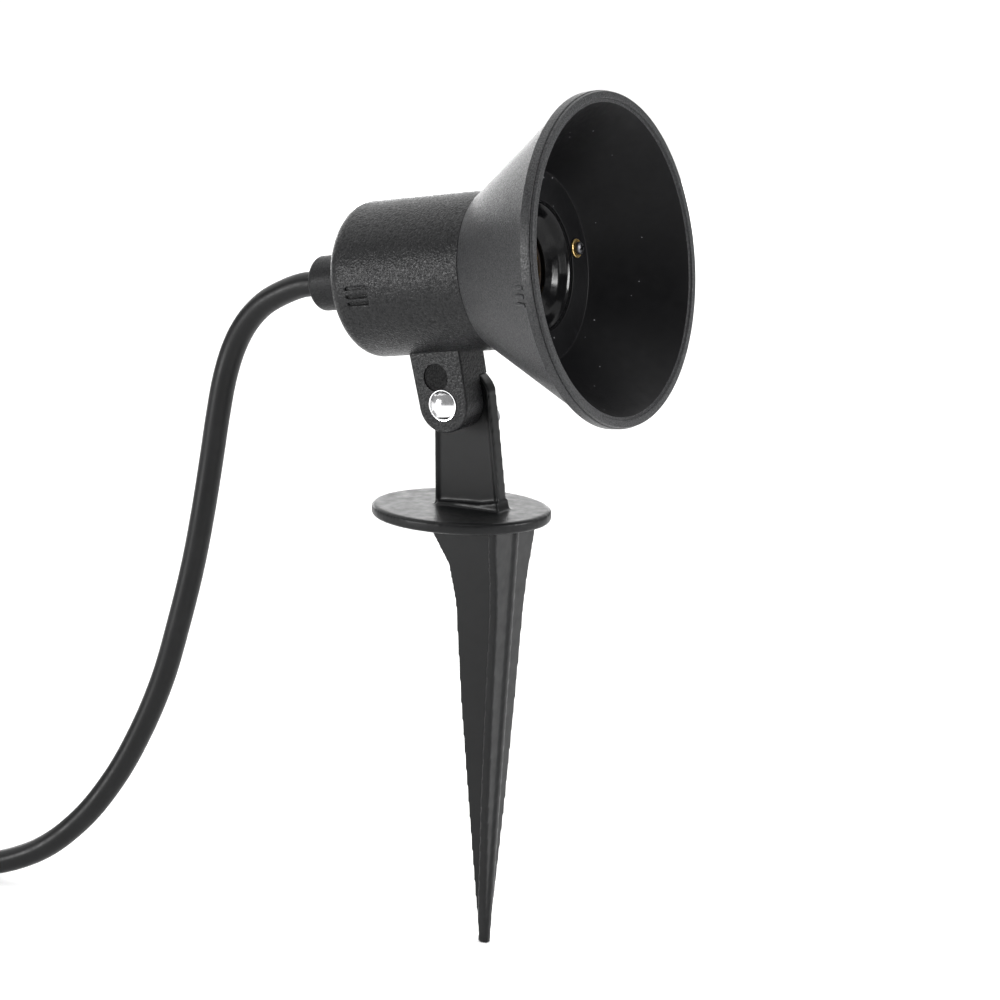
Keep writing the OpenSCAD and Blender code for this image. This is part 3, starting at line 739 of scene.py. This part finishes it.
NECK_R = 28.4 * MM
BAND = 5 * MM               # width of the thicker band round the rim
RIM_STEP = 1.2 * MM         # by which the band stands out from the cone
LIP = 1.5 * MM              # depth of the rim's rounded lip, in front of its fine dark line
LEDGE = 0.9 * MM            # depth of the small ledge inside the rim
MOUTH_R = 53.4 * MM
WEB = 40.8 * MM             # front face of the web across the shade's neck
WEB_THICKNESS = 3.2 * MM
WEB_R = 33.7 * MM
WEB_HOLE_R = 22.9 * MM
BAR_ANGLES = (91.8, 94.8, 97.8)         # degrees round the beam from the top
BARS_AT = 64 * MM
BAR_LOW = Vector((-3, -0.6, -0.6)) * MM
BAR_HIGH = Vector((3, 0.6, 0.8)) * MM


def shade_profile():
    """Closed outline of the shade's wall: neck, cone and rim outside, then mouth and web inside."""
    web_back = WEB - WEB_THICKNESS
    bore = SPIGOT_R + 0.1 * MM
    band_from = rim_front - BAND
    return round_corners([
        (seam, bore, 0.2 * MM),
        (seam, NECK_R, 0.35 * MM),
        (band_from, rim_r - RIM_STEP, 0.5 * MM),
        (band_from, rim_r - 0.1 * MM, 0.4 * MM),
        (rim_front - LIP, rim_r, 0.3 * MM),
        (rim_front - LIP + 0.25 * MM, rim_r - 0.7 * MM, 0.1 * MM),
        (rim_front - LIP + 0.5 * MM, rim_r - 0.25 * MM, 0.2 * MM),
        (rim_front, rim_r - 0.5 * MM, 0.4 * MM),
        (rim_front, MOUTH_R + 1.2 * MM, 0.3 * MM),
        (rim_front - LEDGE, MOUTH_R + 0.9 * MM, 0.15 * MM),
        (rim_front - LEDGE, MOUTH_R, 0.3 * MM),
        (WEB, WEB_R, 0.6 * MM),
        (WEB, WEB_HOLE_R, 0.5 * MM),
        (web_back, WEB_HOLE_R, 0.2 * MM),
        (web_back, bore, 0.2 * MM),
    ], steps=6)


def shade_bars():
    """Three short raised bars that lie along the cone, on the side away from the wing nut."""
    lean = math.atan((rim_r - RIM_STEP - NECK_R) / (rim_front - BAND - seam))
    cone_r = NECK_R + (BARS_AT - seam) * math.tan(lean)
    lying = Matrix.Translation((BARS_AT, 0, cone_r)) @ Matrix.Rotation(-lean, 4, "Y")
    return [
        block("bar_%d" % i, BAR_LOW, BAR_HIGH, head_turned(angle) @ lying, 0.25 * MM)
        for i, angle in enumerate(BAR_ANGLES)
    ]


def paint_inside(shade):
    """Gives the smooth inside of the shade, with its web, the second material, whose near-black colour is
    partly painted shade inside the hollow.
    """
    inverse = HEAD.inverted()
    slope = (MOUTH_R - WEB_R) / (rim_front - LEDGE - WEB)
    back = WEB - 1 * MM
    front = rim_front - LEDGE - 0.05 * MM
    for face in shade.data.polygons:
        centre = inverse @ face.center
        wall_r = WEB_R + (centre.x - WEB) * slope
        if back < centre.x < front and math.hypot(centre.y, centre.z) < wall_r + 0.25 * MM:
            face.material_index = 1


def front_shade():
    """The flared shade, textured outside and smooth inside, the inside darkened as painted shade."""
    shell = lathe("shade_shell", split_long(shade_profile(), 4 * MM), steps=256)
    shade = merge("front_shade_skin", [shell] + shade_bars())
    shade.data.set_sharp_from_angle(angle=math.radians(40))
    finish_piece(shade, "head", SHADE, ["front_shade"])
    shade.data.materials.append(INSIDE_SHADED)
    paint_inside(shade)


GASKET_BACK = 32.7 * MM
BEAD_BACK = 36.4 * MM
BEAD_R = 23.5 * MM


def lamp_gasket():
    """Glossy dished ring: an outer bead under the web's edge and a lip round the lamp's neck."""
    profile = round_corners([
        (BEAD_BACK, BEAD_R, 0.2 * MM),
        (BEAD_BACK + 1.2 * MM, BEAD_R, 0.2 * MM),
        (37.7 * MM, 22.7 * MM, 0.1 * MM),
        (40.5 * MM, 22.7 * MM, 1.0 * MM),
        (39.4 * MM, 20.9 * MM, 3 * MM),
        (37.4 * MM, 19.0 * MM, 5 * MM),
        (35.9 * MM, 16.6 * MM, 3 * MM),
        (34.3 * MM, 14.4 * MM, 0.6 * MM),
        (GASKET_BACK, 14.6 * MM, 0.4 * MM),
        (GASKET_BACK, 17.8 * MM, 0.3 * MM),
        (34.4 * MM, 19.6 * MM, 0.5 * MM),
        (BEAD_BACK, 21.0 * MM, 0.3 * MM),
    ], steps=8)
    return finish_piece(lathe("gasket_ring", profile), "head", GASKET, ["lamp_gasket"])


# ---------- gland ----------


NUT_MOUTH_R = 5.7 * MM
NUT_FLOOR = gland_back + 1.7 * MM
NUT_THREAD = gland_back + 8 * MM        # where the nut's bore widens for the housing's stub
GLAND_GAP = 0.1 * MM                    # between pieces of the gland


def gland_nut():
    """Smooth nut with a rounded back edge and a mouth for the cord."""
    thread_r = STUB_R + GLAND_GAP
    profile = round_corners([
        (nut_high.x, thread_r, 0.2 * MM),
        (nut_high.x, nut_r, 0.5 * MM),
        (gland_back, nut_r - 0.1 * MM, 2.6 * MM),
        (gland_back, NUT_MOUTH_R, 0.3 * MM),
        (NUT_FLOOR, NUT_MOUTH_R, 0.1 * MM),
        (NUT_FLOOR, STUB_BORE, 0.1 * MM),
        (NUT_THREAD, STUB_BORE, 0.1 * MM),
        (NUT_THREAD, thread_r, 0.1 * MM),
    ], steps=8)
    nut = lathe("gland_nut_skin", profile, steps=128)
    return finish_piece(nut, "head", NUT, ["gland_nut"])


def cord_seal():
    """Rubber sleeve in the gland, with a lip that shows in the nut's mouth."""
    low, high = reach("cord_seal")
    bore = cord_r + 0.05 * MM
    lip = cord_r + 1.0 * MM
    body = STUB_BORE - GLAND_GAP
    profile = round_corners([
        (low.x, bore, 0.15 * MM),
        (low.x, lip, 0.35 * MM),
        (NUT_FLOOR + GLAND_GAP, lip, 0.1 * MM),
        (NUT_FLOOR + GLAND_GAP, body, 0.1 * MM),
        (high.x, body, 0.3 * MM),
        (high.x, bore, 0.1 * MM),
    ], steps=5)
    sleeve = lathe("seal_sleeve", profile, steps=96)
    return finish_piece(sleeve, "head", SEAL, ["cord_seal"])


# ---------- lamp socket ----------


SHELL_BACK = 9 * MM
SHELL_R = 13.35 * MM
SHELL_WALL = 0.35 * MM
SHELL_PITCH = 25.4 / 7 * MM     # seven turns to the inch
SHELL_WAVE = 0.45 * MM
SHELL_ROWS = 90


def screw_shell():
    """Rolled screw shell: its wall follows the thread."""
    step = (shell_front - SHELL_BACK) / SHELL_ROWS
    along = [SHELL_BACK + step * k for k in range(SHELL_ROWS + 1)]
    profile = [(s, SHELL_R) for s in along] + [(s, SHELL_R + SHELL_WALL) for s in reversed(along)]

    def thread(s, radius, angle):
        """The wall's wave, faded out over one pitch at both ends."""
        fade = min(1, (shell_front - s) / SHELL_PITCH, (s - SHELL_BACK) / SHELL_PITCH)
        wave = max(fade, 0) * math.sin(TURN * s / SHELL_PITCH - angle)
        return SHELL_WAVE * (wave - 0.4)

    shell = lathe("screw_shell_skin", profile, steps=128, wave=thread, sharp=60)
    return finish_piece(shell, "head", SHELL, ["screw_shell"])


# ---------- fasteners ----------


BOLT_DOME_R = 5.6 * MM
BOLT_R = 2.4 * MM
BOLT_THREAD_FROM = 4 * MM
BOLT_PITCH = 0.8 * MM
BOLT_THREAD_DEPTH = 0.22 * MM
BOLT_ROWS = 60
WASHER_BORE = 2.6 * MM


def bolt_frame():
    """Frame at the hinge's middle with its X axis along the bolt, towards the wing nut."""
    along = sideways
    side = along.orthogonal().normalized()
    turned = Matrix((along, side, along.cross(side))).transposed().to_4x4()
    return Matrix.Translation((pivot.x, 0, pivot.z)) @ turned


def bolt_head(tip):
    """Polished shallow dome from tip to the lug's face."""
    height = LUG_OUT - tip
    sphere = (BOLT_DOME_R ** 2 + height ** 2) / (2 * height)
    arc = math.asin((BOLT_DOME_R - 0.35 * MM) / sphere)
    angles = [arc * k / 16 for k in range(17)]
    dome = [(tip + sphere - sphere * math.cos(a), sphere * math.sin(a)) for a in angles]
    rim = [
        (LUG_OUT - 0.45 * MM, BOLT_DOME_R - 0.05 * MM),
        (LUG_OUT - 0.2 * MM, BOLT_DOME_R),
        (LUG_OUT, BOLT_DOME_R - 0.1 * MM),
        (LUG_OUT, 0),
    ]
    return lathe("bolt_head", dome + rim, bolt_frame(), steps=96)


def bolt_rod(end):
    """Plain shank, then a rolled thread up to end."""
    root = LUG_OUT - 0.1 * MM
    step = (end - 0.5 * MM - BOLT_THREAD_FROM) / BOLT_ROWS
    profile = [(root, 0), (root, BOLT_R), (BOLT_THREAD_FROM - 0.2 * MM, BOLT_R)]
    profile += [(BOLT_THREAD_FROM + step * k, BOLT_R) for k in range(BOLT_ROWS + 1)]
    profile += [(end, BOLT_R - 0.6 * MM), (end, 0)]

    def thread(y, radius, angle):
        """The thread's grooves, only in the rod's side."""
        if y < BOLT_THREAD_FROM or radius < BOLT_R:
            return 0
        return -BOLT_THREAD_DEPTH * (0.5 + 0.5 * math.sin(TURN * y / BOLT_PITCH - angle))

    return lathe("bolt_rod", profile, bolt_frame(), steps=48, wave=thread, sharp=70)


def pivot_bolt():
    """Carriage bolt with a polished dome and a thread at the far end."""
    low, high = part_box("pivot_bolt")
    bolt = merge("bolt_skin", [bolt_head(low[1]), bolt_rod(high[1])])
    bolt.data.set_sharp_from_angle(angle=math.radians(40))
    return finish_piece(bolt, "head", CHROME, ["pivot_bolt"])


def pivot_washer():
    """Flat washer under the lock washer, its upper edge rounded by stamping."""
    low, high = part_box("pivot_washer")
    outer = (high[0] - low[0]) / 2
    profile = round_corners([
        (low[1], WASHER_BORE, 0.1 * MM),
        (low[1], outer, 0.2 * MM),
        (high[1], outer, 0.35 * MM),
        (high[1], WASHER_BORE, 0.1 * MM),
    ], steps=4)
    washer = lathe("flat_washer", profile, bolt_frame(), steps=72)
    return finish_piece(washer, "head", ZINC, ["pivot_washer"])


SCREW_R = 1.3 * MM
SCREW_HEAD_R = 2.4 * MM
CAD_SCREW_HEAD_R = 2.6 * MM     # the screw head's radius in the CAD, for its place in the box
SLOT_HALF = 0.32 * MM
SLOT_REACH = 1.5 * MM
SLOT_TURN = 20                  # degrees by which the cross slot is turned
EYELET_R = 3.5 * MM
EYELET_BORE = 1.5 * MM
EYELET_SHEET = 0.25 * MM


def pan_head_screw(name, place, tip, seat, top):
    """Screw with its tip, the seat of its head and the head's top along the beam, cross slotted."""
    pan = round_corners([
        (tip, 0, 0),
        (tip + 1.5 * MM, SCREW_R, 0),
        (seat, SCREW_R + 0.05 * MM, 0),
        (seat, SCREW_HEAD_R, 0.25 * MM),
        (seat + 1.3 * MM, SCREW_HEAD_R - 0.05 * MM, 0.9 * MM),
        (top, 1.3 * MM, 0.5 * MM),
        (top, 0, 0),
    ], steps=5)
    screw = lathe(name, pan, place, steps=64)
    low = (seat + 0.7 * MM, -SLOT_REACH, -SLOT_HALF)
    high = (top + 1 * MM, SLOT_REACH, SLOT_HALF)
    slots = []
    for turn in (0, 90):
        turned = place @ Matrix.Rotation(math.radians(turn + SLOT_TURN), 4, "X")
        slots.append(block("slot_%d" % turn, low, high, turned, 0))
    cut(screw, slots)
    screw.data.set_sharp_from_angle(angle=math.radians(40))
    return finish_piece(screw, "head", DARK_STEEL, ["shade_screws"])


def eyelet(name, place, back, front):
    """Dished brass eyelet with a rolled lip."""
    cup = round_corners([
        (back, EYELET_BORE, 0.1 * MM),
        (back, EYELET_R - 0.2 * MM, 0.1 * MM),
        (front, EYELET_R, 0.35 * MM),
        (front, EYELET_R - 0.7 * MM, 0.35 * MM),
        (back + EYELET_SHEET, EYELET_R - 0.9 * MM, 0.1 * MM),
        (back + EYELET_SHEET, EYELET_BORE, 0.05 * MM),
    ], steps=4)
    return finish_piece(lathe(name, cup, place, steps=64), "head", BRASS, ["screw_eyelets"])


def shade_screws():
    """The two screws on the shade's web and the eyelets under them, opposite each other."""
    low, high = reach("shade_screws")
    eye_low, eye_high = reach("screw_eyelets")
    across = (high.y - low.y) / 2 - CAD_SCREW_HEAD_R
    upward = (high.z - low.z) / 2 - CAD_SCREW_HEAD_R
    for side, sign in (("left", 1), ("right", -1)):
        place = HEAD @ Matrix.Translation((0, sign * across, sign * upward))
        pan_head_screw("shade_screw_%s" % side, place, low.x, eye_high.x, high.x)
        eyelet("eyelet_%s" % side, place, eye_low.x, eye_high.x)


# ---------- stake ----------


def stake():
    """The stake's moulding, softened all over."""
    skin = softened("stake", "stake_skin", 0.5 * MM, 5)
    return finish_piece(skin, "stake", STAKE, ["stake"])


# ---------- pieces that keep their CAD shape ----------

KEPT = {
    "housing_seal": SEAL,
    "socket_body": PHENOLIC,
    "centre_contact": SHELL,
    "terminal_screws": BRASS,
    "live_lead": BLACK_PVC,
    "neutral_lead": WHITE_PVC,
    "earth_lead": GREEN_PVC,
    "earth_screw": GREEN_STEEL,
    "gland_washer": NYLON_GREY,
    "cord_core": CORD,
    "cord_collar": NYLON_DARK,
    "collar_screw": ZINC,
    "lock_washer": ZINC,
    "wing_nut": ZINC,
    "coil_tie": TIE,
    "plug_body": PLUG,
    "plug_blades": BLADE,
    "plug_earth_pin": BLADE,
}


def dress_kept_nodes():
    """Gives each CAD piece that shows as it is its material."""
    for node, material in KEPT.items():
        obj = frame["nodes"][node]
        for slot in obj.material_slots:
            slot.material = material
        if not obj.material_slots:
            obj.data.materials.append(material)


# ---------- stage ----------


def area_light(name, place, aim, size, power):
    """White rectangular light at place, turned towards aim, size metres across and power in watts."""
    data = bpy.data.lights.new(name, "AREA")
    data.shape = "RECTANGLE"
    data.size, data.size_y = size
    data.energy = power
    light = bpy.data.objects.new(name, data)
    light.location = place
    light.rotation_euler = (Vector(aim) - Vector(place)).to_track_quat("-Z", "Y").to_euler()
    bpy.context.scene.collection.objects.link(light)


def sun_light(from_direction, spread, strength):
    """Wide overhead light, even over the whole floor."""
    data = bpy.data.lights.new("overhead", "SUN")
    data.angle = math.radians(spread)
    data.energy = strength
    light = bpy.data.objects.new("overhead", data)
    light.rotation_euler = (-Vector(from_direction)).to_track_quat("-Z", "Y").to_euler()
    bpy.context.scene.collection.objects.link(light)


def paper_floor():
    """Wide sheet of white paper under the object."""
    half = 30
    corners = [(-half, -half), (half, -half), (half, half), (-half, half)]
    floor = mesh_object("floor", [(x, y, ground) for x, y in corners], [(0, 1, 2, 3)])
    paper = Look("paper", (0.9, 0.9, 0.9), 0.9, specular=0.1)
    cloudy = paper.spread(paper.noise(0.4, 2), 0.0, 1.0)
    paper.paint(paper.mix(cloudy, (0.89, 0.89, 0.89), (0.91, 0.91, 0.91)))
    floor.data.materials.append(paper.material)


def pale_world(strength):
    """Even white light from all round."""
    world = bpy.data.worlds.new("studio")
    world.use_nodes = True
    background = world.node_tree.nodes["Background"]
    background.inputs["Color"].default_value = (1, 1, 1, 1)
    background.inputs["Strength"].default_value = strength
    bpy.context.scene.world = world


def studio():
    """Floor, world and lights: each area light has its place, its aim, its size and its power."""
    paper_floor()
    pale_world(0.3)
    sun_light((-0.35, 0.45, 1.0), 110, 3.2)
    area_light("key", (-0.75, -1.05, 0.22), (0, 0, 0.05), (0.4, 0.4), 12)
    area_light("side", (1.1, -0.5, 0.3), (0, 0, 0.05), (0.25, 0.5), 2.0)
    area_light("glint", (1.25, 0.1, 0.5), (0, 0, 0.09), (0.2, 0.4), 16)
    area_light("backdrop", (-1.5, 1.9, 0.12), (0, 0, 0.1), (2.0, 0.5), 20)
    bpy.context.scene.view_settings.view_transform = "Standard"


# ---------- the whole scene ----------

rear_housing()
front_shade()
lamp_gasket()
gland_nut()
cord_seal()
screw_shell()
pivot_bolt()
pivot_washer()
shade_screws()
stake()
dress_kept_nodes()
studio()
